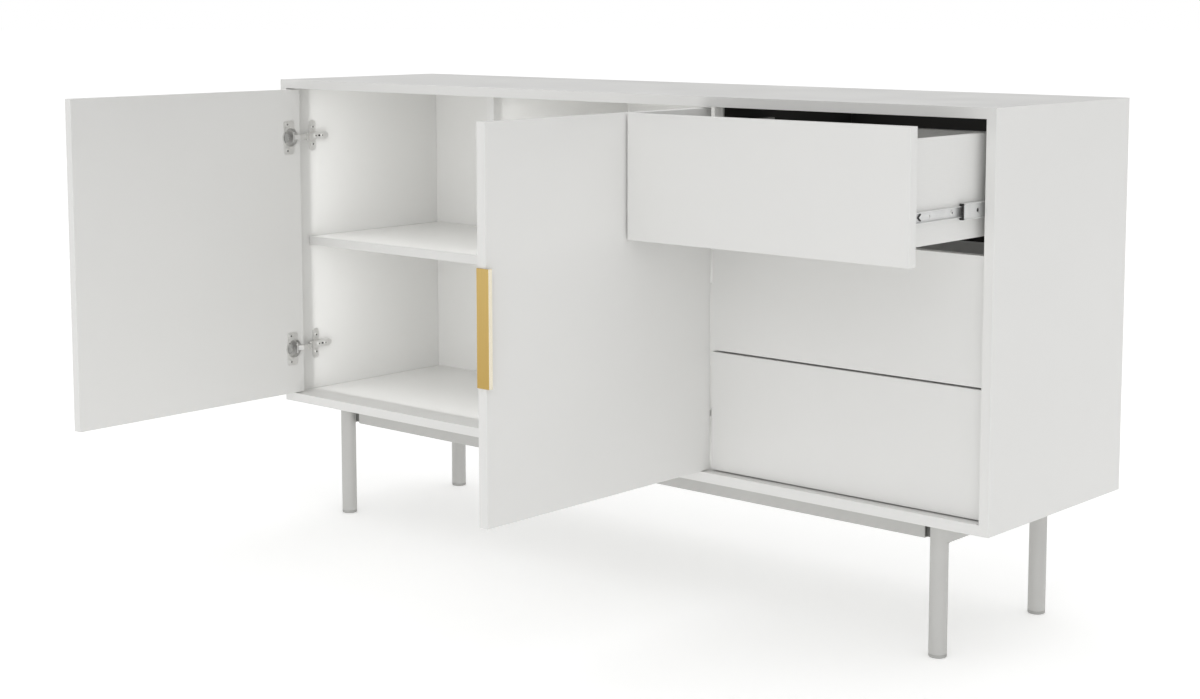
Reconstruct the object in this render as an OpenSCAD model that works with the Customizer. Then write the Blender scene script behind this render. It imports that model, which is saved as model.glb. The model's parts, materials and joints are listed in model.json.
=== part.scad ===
// Sideboard with two hinged doors, a bank of three drawers and a tubular steel base.
// Millimetres. +X to the right, +Y to the back, +Z up.
// The origin is on the floor, at the centre of the four feet.

/* [Cabinet box] */
// Overall width
carcass_w = 1500; // [1200:10:1800]
// Overall depth
carcass_d = 380; // [320:5:480]
// Height of the cabinet box, without its legs
carcass_h = 595; // [500:5:720]
// Thickness of the boards that make the box, the partitions and the fronts
board = 16; // [15:0.5:19]
// Thickness of the back panel
back_t = 3; // [3:0.5:6]
// How far the back panel laps into the rebate around the box
back_lap = 8; // [5:0.5:10]

/* [Fronts] */
// How far the closed fronts sit behind the front edges of the box
recess = 16; // [12:0.5:22]
// Gap between the fronts and the box around them
edge_gap = 2; // [1.5:0.25:3]
// Gap between neighbouring fronts
front_gap = 3; // [2.5:0.25:4]
// Gap between the closed fronts and the partitions behind them
partition_gap = 2; // [1.5:0.25:4]
// How far the joint between door and drawers sits to the right of the partition's centre
seam_shift = 1.8; // [0:0.1:3]

/* [Shelves] */
// Thickness of a shelf
shelf_t = 16; // [15:0.5:22]
// Height of a shelf's underside above the floor of the box
shelf_rise = 271.5; // [200:0.5:320]
// Distance from the closed doors to a shelf's front edge
shelf_setback = 16; // [10:1:60]
// Gap between a shelf and the boards beside and behind it
shelf_gap = 1; // [0.5:0.25:2]
// Diameter of a shelf pin
pin_d = 5; // [4:0.5:6]
// Depth of a shelf pin's hole
pin_depth = 7; // [5:0.5:7]
// Length of a shelf pin that stands out of the board
pin_out = 9; // [7:0.5:12]

/* [Base] */
// Height of the legs, from the floor to the underside of the box
leg_h = 205; // [150:5:260]
// Outside diameter of a leg tube
leg_d = 27; // [25:0.5:34]
// Wall of a leg tube
leg_wall = 2; // [1.5:0.25:3]
// Distance from the side of the box to a leg's axis
leg_inset_side = 112; // [60:1:200]
// Distance from the front of the box to a front leg's axis
leg_inset_front = 54; // [40:1:90]
// Distance from the back of the box to a back leg's axis
leg_inset_back = 43; // [30:1:90]
// Height of the base rails
rail_h = 35; // [30:1:45]
// Width of the side rails
side_rail_w = 25; // [22:1:30]
// Width of the front and back rails
long_rail_w = 20; // [20:1:30]
// Wall of the rail tubes
rail_wall = 1.5; // [1.5:0.25:2.5]
// Distance from the leg axes to the outer faces of the front and back rails
long_rail_set = 2; // [1:0.5:6]
// Slot between a side rail and the end of a front or back rail
rail_slot = 15; // [8:1:24]
// Height of the visible rim of a foot
foot_rim = 5; // [3:0.5:10]

/* [Hinges] */
// Distance from a door's top edge to the upper hinge
hinge_from_top = 87; // [70:1:120]
// Distance from a door's bottom edge to the lower hinge
hinge_from_bottom = 83; // [70:1:120]
// Outside diameter of a hinge cup
cup_d = 35; // [26:1:40]
// Depth of a hinge cup
cup_depth = 11.5; // [9:0.5:13]
// Distance from a door's hinge edge to the cup
cup_tab = 5; // [3:0.5:7]
// Size of the cup's flange along the height of the door
cup_flange_h = 61; // [56:1:66]
// Size of the cup's flange along the width of the door
cup_flange_w = 24.5; // [20:0.5:28]

/* [Handle] */
// Length of the handle
handle_len = 165; // [100:5:320]
// How far the handle stands in front of the door's face
handle_proud = 7; // [5:0.5:11]
// Width of the handle's grip lip
handle_lip = 7.5; // [6:0.5:12]
// Thickness of the handle's metal
handle_t = 2; // [1.5:0.1:2]
// How far the handle's centre is below the door's centre
handle_drop = 1.5; // [0:0.5:60]

/* [Drawers] */
// Thickness of a drawer's sides and back
box_t = 12; // [10:0.5:16]
// Height of a drawer's sides
box_h = 142; // [100:1:145]
// Length of a drawer's sides
box_len = 300; // [250:10:320]
// Height of a drawer's sides above the bottom edge of its front
box_lift = 24; // [18:1:30]
// How much lower a drawer's back is than its sides
box_back_drop = 6; // [0:1:20]
// Thickness of a drawer's bottom
box_floor_t = 4; // [3:0.5:6]
// Height of a drawer's bottom above the lower edges of its sides
box_floor_lift = 10; // [8:1:16]
// Depth of the grooves that hold a drawer's bottom
box_groove = 6; // [4:0.5:8]

/* [Drawer slides] */
// Space between a drawer's side and the board beside it
slide_space = 12.5; // [12:0.1:14]
// Height of the slide's fixed outer member
slide_h = 27; // [24:1:35]
// Length of the slide's members
slide_len = 300; // [250:10:310]
// Height of the slide's centre above the lower edges of the drawer's sides
slide_lift = 39; // [25:1:60]
// Full travel of a drawer
drawer_travel = 270; // [200:10:280]

/* [Pose] */
// Angle at which the doors stand open
doors_open = 90; // [0:5:90]
// Distance that the top drawer is pulled out
top_drawer_out = 198.5; // [0:0.5:270]

/* [Hidden] */

$fn = 48;
over = 1;               // how far a cutting shape runs past the face that it cuts

// Colours
white = "#dededc";
inner_white = "#cccbc9";
base_grey = "#c4c4c0";
steel = "#b9b9b6";
dark_steel = "#4a4a48";
gold = "#c5a865";
foot_grey = "#8f8f8c";
wood = "#c9a877";

// Box: planes and edges
leg_span_y = carcass_d - leg_inset_front - leg_inset_back;
y_front = -leg_span_y / 2 - leg_inset_front;
y_back = y_front + carcass_d;
y_back_in = y_back - back_t;
y_fronts = y_front + recess;
y_fronts_in = y_fronts + board;
y_partition = y_fronts_in + partition_gap;
x_side = carcass_w / 2;
x_in = x_side - board;
z_floor = leg_h;
z_top = leg_h + carcass_h;
z_in_lo = z_floor + board;
z_in_hi = z_top - board;
part_x = x_in / 3;      // the partitions' centres divide the inside in three

// Fronts
z_fronts_lo = z_in_lo + edge_gap;
z_fronts_hi = z_in_hi - edge_gap;
fronts_h = z_fronts_hi - z_fronts_lo;
seam_x = part_x + seam_shift;
drawer_x0 = seam_x + front_gap / 2;
drawer_x1 = x_in - edge_gap;
left_hinge_x = -x_in + edge_gap;
middle_hinge_x = seam_x - front_gap / 2;
door_w = (middle_hinge_x - left_hinge_x - front_gap) / 2;
drawer_front_h = (fronts_h - 2 * front_gap) / 3;
hinge_zs = [z_fronts_lo + hinge_from_bottom, z_fronts_hi - hinge_from_top];

// Shelves
shelf_z = z_in_lo + shelf_rise;
shelf_y0 = y_fronts_in + shelf_setback;
shelf_y1 = y_back_in - shelf_gap;
pin_z = shelf_z - pin_d / 2;
pin_ys = [shelf_y0 + 35, shelf_y1 - 50];
// Each entry is a board face that carries pins: its place, and the side that it faces
pin_faces = [[-x_in, 1], [-part_x - board / 2, -1], [-part_x + board / 2, 1], [part_x - board / 2, -1]];

// Dowels that join the partitions to the top and bottom panels
dowel_d = 8;
dowel_len = 30;
dowel_in_panel = 10;
dowel_ys = [y_partition + 40, (y_partition + y_back_in) / 2, y_back_in - 40];

// Base
leg_r = leg_d / 2;
leg_x = x_side - leg_inset_side;
leg_y = leg_span_y / 2;
side_rail_x = leg_x + leg_r - side_rail_w;      // inner face of a side rail
long_rail_x = side_rail_x - rail_slot;          // end of a front or back rail
long_rail_y = leg_y - long_rail_set;            // outer face of the back rail, mirrored for the front one
plug_fit = 0.1;                                 // clearance of a plug in its tube
plug_h = 22;
foot_round = 1.5;
glide_hole_d = 4;
glide_hole_depth = 14;
joiner_back = 6;                                // from the long rail's face to a joiner's face
joiner_tongue = 30;
base_screw_d = 4.5;
base_screw_head_d = 9;
base_screw_head_t = 2.5;
base_screw_bite = 12;
access_hole_d = 11;
long_rail_screw_xs = [-long_rail_x + 80, 0, long_rail_x - 80];

// Hinges, in a door's own plan: a runs from the hinge edge to the free edge,
// b from the door's front face to its inner face, and the pivot is at a = 0, b = 0
cup_wall = 1;
cup_rim_w = 1.5;
cup_rim_t = 1.2;
cup_a = cup_tab + cup_d / 2;
flange_a0 = cup_a - 8;
cup_screw_dz = 24;
cup_screw_a = cup_a + 9;
cup_screw_len = 10;
link_a = board / 2 + 4; // pivot of the links on the hinge arm, clear of a partition
link_b = board + 4;
link_ratio = 0.95;      // turn of the links for each degree that the door turns
link_w = 8.4;
link_t = 2.4;
link_barrel_r = 2.6;
link_pin_d = 3;
link_fit = 0.05;
// The link's centre line with the door open
link_path = [[link_a, link_b], [board + 3.5, 8], [board + 4.6, 1 - cup_tab], [board, 9.5 - cup_a]];
arm_w = 13;
arm_cheek = 2;
arm_t = 5;
arm_nose_r = 2.9;
arm_neck = 3;
arm_b1 = board + 53;
plate_b0 = board + 13;
plate_b1 = board + 50;
plate_t = 1.6;
plate_block_h = 5.5;
plate_block_w = 11;
wing_h = 56;
wing_b0 = board + 20;
wing_w = 15;
plate_screw_dz = 16;
plate_screw_b = wing_b0 + wing_w / 2;
screw_d = 4;
screw_head_d = 8;
screw_head_t = 1.6;
plate_screw_len = 10;

// Handle
handle_z = (z_fronts_lo + z_fronts_hi) / 2 - handle_drop;
handle_fin = 7;         // depth of the fin that holds the handle in the door's edge
handle_fin_t = 1.6;

// Drawers
box_x0 = part_x + board / 2 + slide_space;
box_x1 = x_in - slide_space;
drawer_names = ["bottom", "middle", "top"];
function drawer_z(i) = z_fronts_lo + i * (drawer_front_h + front_gap);
function drawer_out(i) = i == 2 ? top_drawer_out : 0;
function slide_z(i) = drawer_z(i) + box_lift + slide_lift;

// Drawer slides: u runs from the board to the drawer, w is the height from the slide's centre
case_t = 1.2;
case_depth = 9.2;
case_start = 4;         // from the fronts' inner faces to the fixed members
mid_h = slide_h - 4.4;
mid_u0 = 2.7;
mid_u1 = slide_space - 0.9;
mid_t = 1.3;
mid_start = 23;
mid_len = slide_len - 30;
runner_h = 15.6;
runner_t = 1.2;
runner_depth = 5.2;
case_screw_ys = [12, 230];
case_screw_len = 8;
case_screw_head_t = 1.2;
case_screw_head_d = 7;
case_screw_d = 3.5;

// ---------------------------------------------------------------- shared shapes

// A box from its lowest to its highest corner
module block(lo, hi) translate(lo) cube(hi - lo);

// An XZ outline drawn out along Y
module along_y(y0, y1) translate([0, y1, 0]) rotate([90, 0, 0]) linear_extrude(y1 - y0) children();

// A cylinder along X, from x0 to x1
module rod_x(x0, x1, y, z, d) translate([x0, y, z]) rotate([0, 90, 0]) cylinder(d = d, h = x1 - x0);

// A strip of even thickness along a path in plan, with mitred bends
function normal(p, q) = [p[1] - q[1], q[0] - p[0]] / norm(q - p);
function mitre(path, i) =
    i == 0 ? normal(path[0], path[1]) :
    i == len(path) - 1 ? normal(path[i - 1], path[i]) :
    (normal(path[i - 1], path[i]) + normal(path[i], path[i + 1]))
        / (1 + normal(path[i - 1], path[i]) * normal(path[i], path[i + 1]));
module strip2d(path, t) {
    last = len(path) - 1;
    polygon(concat([for (i = [0 : last]) path[i] + t / 2 * mitre(path, i)],
                   [for (i = [0 : last]) path[last - i] - t / 2 * mitre(path, last - i)]));
}

// Both sides of the base, left and right
module both_x() {
    children();
    mirror([1, 0, 0]) children();
}

// ---------------------------------------------------------------- cutting shapes

module back_rebate()
    block([-x_in - back_lap, y_back_in, z_in_lo - back_lap], [x_in + back_lap, y_back + over, z_in_hi + back_lap]);

module dowels()
    for (s = [-1, 1], y = dowel_ys) {
        translate([s * part_x, y, z_in_lo - dowel_in_panel]) cylinder(d = dowel_d, h = dowel_len);
        translate([s * part_x, y, z_in_hi + dowel_in_panel - dowel_len]) cylinder(d = dowel_d, h = dowel_len);
    }

// One row of shelf pins, with a cone at each end that stands out
module pins_at(face, dir)
    for (y = pin_ys) translate([face - dir * pin_depth, y, pin_z]) rotate([0, dir * 90, 0]) {
        cylinder(d = pin_d, h = pin_depth + pin_out - 1);
        translate([0, 0, pin_depth + pin_out - 1]) cylinder(d1 = pin_d, d2 = pin_d - 2, h = 1);
    }

module all_pins() for (f = pin_faces) pins_at(f[0], f[1]);

// Screws that hold the hinge plates, and the holes that they sit in
module plate_screws(wall, dir)
    for (z = hinge_zs, s = [-1, 1])
        translate([wall, y_fronts + plate_screw_b, z + s * plate_screw_dz]) rotate([0, dir * 90, 0]) {
            translate([0, 0, -plate_screw_len]) cylinder(d = screw_d, h = plate_screw_len + plate_t);
            translate([0, 0, plate_t]) cylinder(d = screw_head_d, h = screw_head_t);
        }

module all_plate_screws() {
    plate_screws(-x_in, 1);
    plate_screws(part_x - board / 2, -1);
}

// Screws that hold the slides' fixed members
module case_screws(wall, dir)
    for (i = [0 : 2], y = case_screw_ys)
        translate([wall, y_fronts_in + case_start + y, slide_z(i)]) rotate([0, dir * 90, 0]) {
            translate([0, 0, -case_screw_len]) cylinder(d = case_screw_d, h = case_screw_len + case_t);
            translate([0, 0, case_t]) cylinder(d = case_screw_head_d, h = case_screw_head_t);
        }

module all_case_screws() {
    case_screws(x_in, -1);
    case_screws(part_x + board / 2, 1);
}

// Screws up through the front and back rails into the bottom panel
module base_screw_set() {
    z = z_floor - rail_wall;
    for (x = long_rail_screw_xs, s = [-1, 1]) translate([x, s * (long_rail_y - long_rail_w / 2), 0]) {
        translate([0, 0, z - base_screw_head_t]) cylinder(d = base_screw_head_d, h = base_screw_head_t);
        translate([0, 0, z]) cylinder(d = base_screw_d, h = rail_wall + base_screw_bite);
    }
}

// ---------------------------------------------------------------- cabinet box

module top_panel() color(white) difference() {
    along_y(y_front, y_back)
        polygon([[-x_side, z_top], [x_side, z_top], [x_in, z_in_hi], [-x_in, z_in_hi]]);
    back_rebate();
    dowels();
}

module bottom_panel() color(white) difference() {
    along_y(y_front, y_back)
        polygon([[-x_side, z_floor], [-x_in, z_in_lo], [x_in, z_in_lo], [x_side, z_floor]]);
    back_rebate();
    dowels();
    base_screw_set();
}

module side_board()
    along_y(y_front, y_back)
        polygon([[x_side, z_floor], [x_side, z_top], [x_in, z_in_hi], [x_in, z_in_lo]]);

module left_side_panel() color(white) difference() {
    mirror([1, 0, 0]) side_board();
    back_rebate();
    all_pins();
    all_plate_screws();
}

module right_side_panel() color(white) difference() {
    side_board();
    back_rebate();
    all_case_screws();
}

module partition_board(x)
    block([x - board / 2, y_partition, z_in_lo], [x + board / 2, y_back_in, z_in_hi]);

module left_partition() color(white) difference() {
    partition_board(-part_x);
    dowels();
    all_pins();
}

module right_partition() color(white) difference() {
    partition_board(part_x);
    dowels();
    all_pins();
    all_plate_screws();
    all_case_screws();
}

module back_panel() color(inner_white)
    block([-x_in - back_lap, y_back_in, z_in_lo - back_lap], [x_in + back_lap, y_back, z_in_hi + back_lap]);

module shelf(x0, x1) color(white)
    block([x0 + shelf_gap, shelf_y0, shelf_z], [x1 - shelf_gap, shelf_y1, shelf_z + shelf_t]);

module left_shelf() shelf(-x_in, -part_x - board / 2);
module middle_shelf() shelf(-part_x + board / 2, part_x - board / 2);
module shelf_pins() color(steel) all_pins();
module partition_dowels() color(wood) dowels();

// ---------------------------------------------------------------- base

module leg_tube(x, y) color(base_grey) translate([x, y, foot_rim]) difference() {
    cylinder(r = leg_r, h = leg_h - foot_rim);
    translate([0, 0, -over]) cylinder(r = leg_r - leg_wall, h = leg_h - foot_rim - leg_wall + over);
}

module front_left_leg() leg_tube(-leg_x, -leg_y);
module front_right_leg() leg_tube(leg_x, -leg_y);
module back_left_leg() leg_tube(-leg_x, leg_y);
module back_right_leg() leg_tube(leg_x, leg_y);

// A plastic plug with a rounded rim and a pilot hole for a screwed glide
module foot() {
    bore_r = leg_r - leg_wall - plug_fit;
    difference() {
        union() {
            translate([0, 0, foot_round]) cylinder(r = leg_r, h = foot_rim - foot_round);
            rotate_extrude() {
                square([leg_r - foot_round, foot_round]);
                intersection() {
                    translate([leg_r - foot_round, foot_round]) circle(r = foot_round);
                    square([leg_r, foot_round]);
                }
            }
            translate([0, 0, foot_rim]) cylinder(r = bore_r, h = plug_h - foot_rim);
        }
        translate([0, 0, -over]) cylinder(d = glide_hole_d, h = glide_hole_depth + over);
    }
}

module leg_feet() color(foot_grey) for (x = [-leg_x, leg_x], y = [-leg_y, leg_y]) translate([x, y, 0]) foot();

module leg_cuts() for (x = [-leg_x, leg_x], y = [-leg_y, leg_y])
    translate([x, y, z_floor - rail_h - over]) cylinder(r = leg_r, h = rail_h + 2 * over);

// Rectangular tube between the two legs of one end, coped round them
module side_rail() difference() {
    block([side_rail_x, -leg_y, z_floor - rail_h], [side_rail_x + side_rail_w, leg_y, z_floor]);
    block([side_rail_x + rail_wall, -leg_y - over, z_floor - rail_h + rail_wall],
          [side_rail_x + side_rail_w - rail_wall, leg_y + over, z_floor - rail_wall]);
    leg_cuts();
}

module right_side_rail() color(base_grey) side_rail();
module left_side_rail() color(base_grey) mirror([1, 0, 0]) side_rail();

// Rectangular tube between the two ends, with access holes under its screws
module long_rail() difference() {
    block([-long_rail_x, long_rail_y - long_rail_w, z_floor - rail_h], [long_rail_x, long_rail_y, z_floor]);
    block([-long_rail_x - over, long_rail_y - long_rail_w + rail_wall, z_floor - rail_h + rail_wall],
          [long_rail_x + over, long_rail_y - rail_wall, z_floor - rail_wall]);
    base_screw_set();
    for (x = long_rail_screw_xs) translate([x, long_rail_y - long_rail_w / 2, z_floor - rail_h - over])
        cylinder(d = access_hole_d, h = rail_wall + 2 * over);
}

module back_rail() color(base_grey) long_rail();
module front_rail() color(base_grey) mirror([0, 1, 0]) long_rail();

// A block welded to the side rail, with a tongue that plugs into the long rail
module joiner() difference() {
    union() {
        block([long_rail_x, long_rail_y - long_rail_w + 1, z_floor - rail_h + 1],
              [side_rail_x, long_rail_y - joiner_back, z_floor - 1]);
        block([long_rail_x - joiner_tongue, long_rail_y - long_rail_w + rail_wall + plug_fit,
               z_floor - rail_h + rail_wall + plug_fit],
              [long_rail_x, long_rail_y - rail_wall - plug_fit, z_floor - rail_wall - plug_fit]);
    }
    leg_cuts();
}

module rail_joiners() color(dark_steel) both_x() {
    joiner();
    mirror([0, 1, 0]) joiner();
}

module base_screws() color(steel) base_screw_set();

// ---------------------------------------------------------------- hinges

// Puts a shape drawn in a door's own plan at the left or the middle door's pivot
module at_pivot(door) {
    x = door == "left" ? left_hinge_x : middle_hinge_x;
    translate([x, y_fronts, 0]) mirror([door == "left" ? 0 : 1, 0, 0]) children();
}

// The same, for what moves with the door
module on_door(door) at_pivot(door) rotate([0, 0, -doors_open]) children();

module at_hinges() for (z = hinge_zs) translate([0, 0, z]) children();

// Distance from the pivot line to the board that a door's hinges are fixed to
function wall_a(door) = door == "left" ? left_hinge_x * -1 - x_in : middle_hinge_x - part_x + board / 2;

// Cross-shaped plate: two wings for the screws, and a block for the arm
module hinge_plate(door) {
    a = wall_a(door);
    translate([a, wing_b0, -wing_h / 2]) difference() {
        cube([plate_t, wing_w, wing_h]);
        for (s = [-1, 1]) translate([-over, wing_w / 2, wing_h / 2 + s * plate_screw_dz])
            rotate([0, 90, 0]) cylinder(d = screw_d, h = plate_t + 2 * over);
    }
    translate([a, plate_b0, -plate_block_w / 2]) cube([plate_block_h, wing_b0 - plate_b0, plate_block_w]);
    translate([a + plate_t, wing_b0, -plate_block_w / 2]) cube([plate_block_h - plate_t, wing_w, plate_block_w]);
    translate([a, wing_b0 + wing_w, -plate_block_w / 2])
        cube([plate_block_h, plate_b1 - wing_b0 - wing_w, plate_block_w]);
}

module hinge_plates() color(steel) for (door = ["left", "middle"]) at_pivot(door) at_hinges() hinge_plate(door);

module hinge_plate_screws() color(steel) all_plate_screws();

// Channel-shaped arm from the plate to the links' pivot, with the pivot's pin between its cheeks
module hinge_arm(door) {
    a = wall_a(door) + plate_block_h;
    mid_a = a + arm_t / 2;
    difference() {
        translate([0, 0, -arm_w / 2]) linear_extrude(arm_w) {
            translate([a, plate_b0]) square([arm_t, arm_b1 - plate_b0]);
            strip2d([[mid_a, plate_b0 + 1], [mid_a, plate_b0 - arm_neck], [link_a, link_b]], arm_t);
            translate([link_a, link_b]) circle(r = arm_nose_r);
        }
        translate([link_a - 12, link_b - 6, -arm_w / 2 + arm_cheek]) cube([24, 13, arm_w - 2 * arm_cheek]);
    }
    translate([link_a, link_b, -arm_w / 2 + arm_cheek]) cylinder(d = link_pin_d, h = arm_w - 2 * arm_cheek);
}

module hinge_arms() color(steel) for (door = ["left", "middle"]) at_pivot(door) at_hinges() hinge_arm(door);

// Gooseneck link from the arm's pin to the cup
module hinge_link()
    translate([link_a, link_b, 0]) rotate([0, 0, link_ratio * (90 - doors_open)]) translate([-link_a, -link_b, 0])
        translate([0, 0, -link_w / 2]) linear_extrude(link_w) difference() {
            union() {
                strip2d(link_path, link_t);
                translate([link_a, link_b]) circle(r = link_barrel_r);
            }
            translate([link_a, link_b]) circle(d = link_pin_d + 2 * link_fit);
        }

module left_hinge_links() color(steel) at_pivot("left") at_hinges() hinge_link();
module middle_hinge_links() color(steel) at_pivot("middle") at_hinges() hinge_link();

// Cup sunk in the door, with its rim and its flange on the inner face
module hinge_cup() translate([cup_a, board, 0]) rotate([-90, 0, 0]) difference() {
    union() {
        translate([0, 0, -cup_depth]) cylinder(d = cup_d, h = cup_depth);
        cylinder(d = cup_d + 2 * cup_rim_w, h = cup_rim_t);
        translate([flange_a0 - cup_a, -cup_flange_h / 2, 0]) cube([cup_flange_w, cup_flange_h, cup_rim_t]);
    }
    translate([0, 0, -cup_depth + cup_wall]) cylinder(d = cup_d - 2 * cup_wall, h = cup_depth + over);
    for (s = [-1, 1]) translate([cup_screw_a - cup_a, s * cup_screw_dz, -over]) cylinder(d = screw_d, h = cup_depth);
}

module cup_screw_set() for (s = [-1, 1]) translate([cup_screw_a, board, s * cup_screw_dz]) rotate([-90, 0, 0]) {
    translate([0, 0, -cup_screw_len]) cylinder(d = screw_d, h = cup_screw_len + cup_rim_t);
    translate([0, 0, cup_rim_t]) cylinder(d = screw_head_d, h = screw_head_t);
}

module left_hinge_cups() color(steel) on_door("left") at_hinges() hinge_cup();
module middle_hinge_cups() color(steel) on_door("middle") at_hinges() hinge_cup();
module left_cup_screws() color(steel) on_door("left") at_hinges() cup_screw_set();
module middle_cup_screws() color(steel) on_door("middle") at_hinges() cup_screw_set();

// ---------------------------------------------------------------- doors and handle

module door_board() difference() {
    block([0, 0, z_fronts_lo], [door_w, board, z_fronts_hi]);
    at_hinges() {
        translate([cup_a, board - cup_depth, 0]) rotate([-90, 0, 0]) cylinder(d = cup_d, h = cup_depth + over);
        cup_screw_set();
    }
}

module left_door() color(white) on_door("left") door_board();

module middle_door() color(white) on_door("middle") difference() {
    door_board();
    handle_fin_slot();
}

module handle_fin_slot()
    block([door_w - handle_fin, board / 2 - handle_fin_t / 2, handle_z - handle_len / 2],
          [door_w + over, board / 2 + handle_fin_t / 2, handle_z + handle_len / 2]);

// Angle profile: a plate on the door's free edge, a lip in front of its face, and a fin in its edge
module handle_profile() {
    translate([door_w, -handle_proud]) square([handle_t, handle_proud + board]);
    translate([door_w + handle_t - handle_lip, -handle_proud]) square([handle_lip, handle_t]);
    translate([door_w - handle_fin, board / 2 - handle_fin_t / 2]) square([handle_fin + handle_t, handle_fin_t]);
}

module door_handle() color(gold) on_door("middle")
    translate([0, 0, handle_z - handle_len / 2]) linear_extrude(handle_len) handle_profile();

// ---------------------------------------------------------------- drawer slides

// Draws a slide part at the left or the right board of the drawer bay
module at_wall(side) {
    x = side == "left" ? part_x + board / 2 : x_in;
    translate([x, 0, 0]) mirror([side == "left" ? 0 : 1, 0, 0]) children();
}

// A channel outline, open towards +u, or towards -u when it is turned
module channel2d(u0, u1, h, t, open_to_drawer) difference() {
    translate([u0, -h / 2]) square([u1 - u0, h]);
    translate([open_to_drawer ? u0 + t : u0 - over, -h / 2 + t]) square([u1 - u0 - t + over, h - 2 * t]);
}

module slide_case(i) difference() {
    along_y(y_fronts_in + case_start, y_fronts_in + case_start + slide_len)
        translate([0, slide_z(i)]) channel2d(0, case_depth, slide_h, case_t, true);
    for (y = case_screw_ys) rod_x(-over, case_t + over, y_fronts_in + case_start + y, slide_z(i), case_screw_d);
}

module slide_cases() color(steel) for (side = ["left", "right"], i = [0 : 2]) at_wall(side) slide_case(i);
module slide_case_screws() color(steel) all_case_screws();

// Middle member of a slide: a web with a channel on each side
module midrail(i) {
    y0 = y_fronts_in + mid_start - drawer_out(i) / 2;
    along_y(y0, y0 + mid_len) translate([0, slide_z(i)]) {
        channel2d(mid_u0 + 2.4, mid_u1, mid_h, mid_t, true);
        channel2d(mid_u0, mid_u0 + 2.4 + mid_t, mid_h, mid_t, false);
    }
}

// Drawer member of a slide, screwed to the drawer's side
module runner(i) {
    y0 = y_fronts_in - drawer_out(i);
    along_y(y0, y0 + slide_len) translate([0, slide_z(i)])
        channel2d(slide_space - runner_depth, slide_space, runner_h, runner_t, false);
}

module midrails(i) color(steel) for (side = ["left", "right"]) at_wall(side) midrail(i);
module runners(i) color(steel) for (side = ["left", "right"]) at_wall(side) runner(i);

// ---------------------------------------------------------------- drawers

// Puts drawer i at the place where it stands
module drawer_at(i) translate([0, -drawer_out(i), drawer_z(i)]) children();

module drawer_front(i) color(white) drawer_at(i)
    block([drawer_x0, y_fronts, 0], [drawer_x1, y_fronts_in, drawer_front_h]);

// Groove for the bottom, all the way round the inside of the box
module floor_groove()
    block([box_x0 + box_t - box_groove, y_fronts_in - over, box_lift + box_floor_lift],
          [box_x1 - box_t + box_groove, y_fronts_in + box_len - box_t + box_groove,
           box_lift + box_floor_lift + box_floor_t]);

module drawer_side(i, x) color(inner_white) drawer_at(i) difference() {
    block([x, y_fronts_in, box_lift], [x + box_t, y_fronts_in + box_len, box_lift + box_h]);
    floor_groove();
}

module drawer_left_side(i) drawer_side(i, box_x0);
module drawer_right_side(i) drawer_side(i, box_x1 - box_t);

module drawer_back(i) color(inner_white) drawer_at(i) difference() {
    block([box_x0 + box_t, y_fronts_in + box_len - box_t, box_lift],
          [box_x1 - box_t, y_fronts_in + box_len, box_lift + box_h - box_back_drop]);
    floor_groove();
}

module drawer_bottom(i) color(inner_white) drawer_at(i)
    block([box_x0 + box_t - box_groove, y_fronts_in, box_lift + box_floor_lift],
          [box_x1 - box_t + box_groove, y_fronts_in + box_len - box_t + box_groove,
           box_lift + box_floor_lift + box_floor_t]);

// ---------------------------------------------------------------- what is drawn

top_panel();
bottom_panel();
left_side_panel();
right_side_panel();
left_partition();
right_partition();
back_panel();
left_shelf();
middle_shelf();
shelf_pins();
partition_dowels();
front_left_leg();
front_right_leg();
back_left_leg();
back_right_leg();
leg_feet();
left_side_rail();
right_side_rail();
front_rail();
back_rail();
rail_joiners();
base_screws();
hinge_plates();
hinge_plate_screws();
hinge_arms();
left_door();
left_hinge_cups();
left_cup_screws();
left_hinge_links();
middle_door();
middle_hinge_cups();
middle_cup_screws();
middle_hinge_links();
door_handle();
slide_cases();
slide_case_screws();
for (i = [0 : 2]) {
    drawer_front(i);
    drawer_left_side(i);
    drawer_right_side(i);
    drawer_back(i);
    drawer_bottom(i);
    runners(i);
    midrails(i);
}
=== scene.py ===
"""White sideboard with two doors, three drawers and a steel base, built round its CAD frame."""

import json
import math

import bmesh
import bpy
from mathutils import Matrix, Vector


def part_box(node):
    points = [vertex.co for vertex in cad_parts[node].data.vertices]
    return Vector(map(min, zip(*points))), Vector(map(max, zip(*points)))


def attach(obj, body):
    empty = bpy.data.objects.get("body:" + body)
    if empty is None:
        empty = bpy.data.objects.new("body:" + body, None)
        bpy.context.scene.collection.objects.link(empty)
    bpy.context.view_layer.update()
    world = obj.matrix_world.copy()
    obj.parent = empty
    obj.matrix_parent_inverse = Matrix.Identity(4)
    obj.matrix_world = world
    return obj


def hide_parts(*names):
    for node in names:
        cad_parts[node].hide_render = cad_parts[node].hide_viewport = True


bl_info = {
    "name": "Sideboard Buffet",
    "version": (1, 0, 0),
    "blender": (4, 5, 0),
    "location": "View3D > Sidebar > Sideboard",
    "description": "Builds a sideboard's boards, hardware, base and studio round its CAD frame",
    "category": "Object",
}

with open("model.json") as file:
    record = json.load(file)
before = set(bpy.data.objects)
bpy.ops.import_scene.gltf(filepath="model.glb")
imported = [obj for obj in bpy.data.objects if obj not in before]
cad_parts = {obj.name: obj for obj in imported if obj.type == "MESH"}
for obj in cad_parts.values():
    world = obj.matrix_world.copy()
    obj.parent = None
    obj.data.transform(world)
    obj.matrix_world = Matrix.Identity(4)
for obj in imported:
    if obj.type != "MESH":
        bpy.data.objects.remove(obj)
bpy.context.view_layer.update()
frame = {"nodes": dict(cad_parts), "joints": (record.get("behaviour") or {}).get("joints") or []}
NODES = frame["nodes"]
JOINTS = {joint["name"]: joint for joint in frame["joints"]}

MM = 0.001
DRAWERS = ("top", "middle", "bottom")
DOORS = ("left", "middle")


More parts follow.
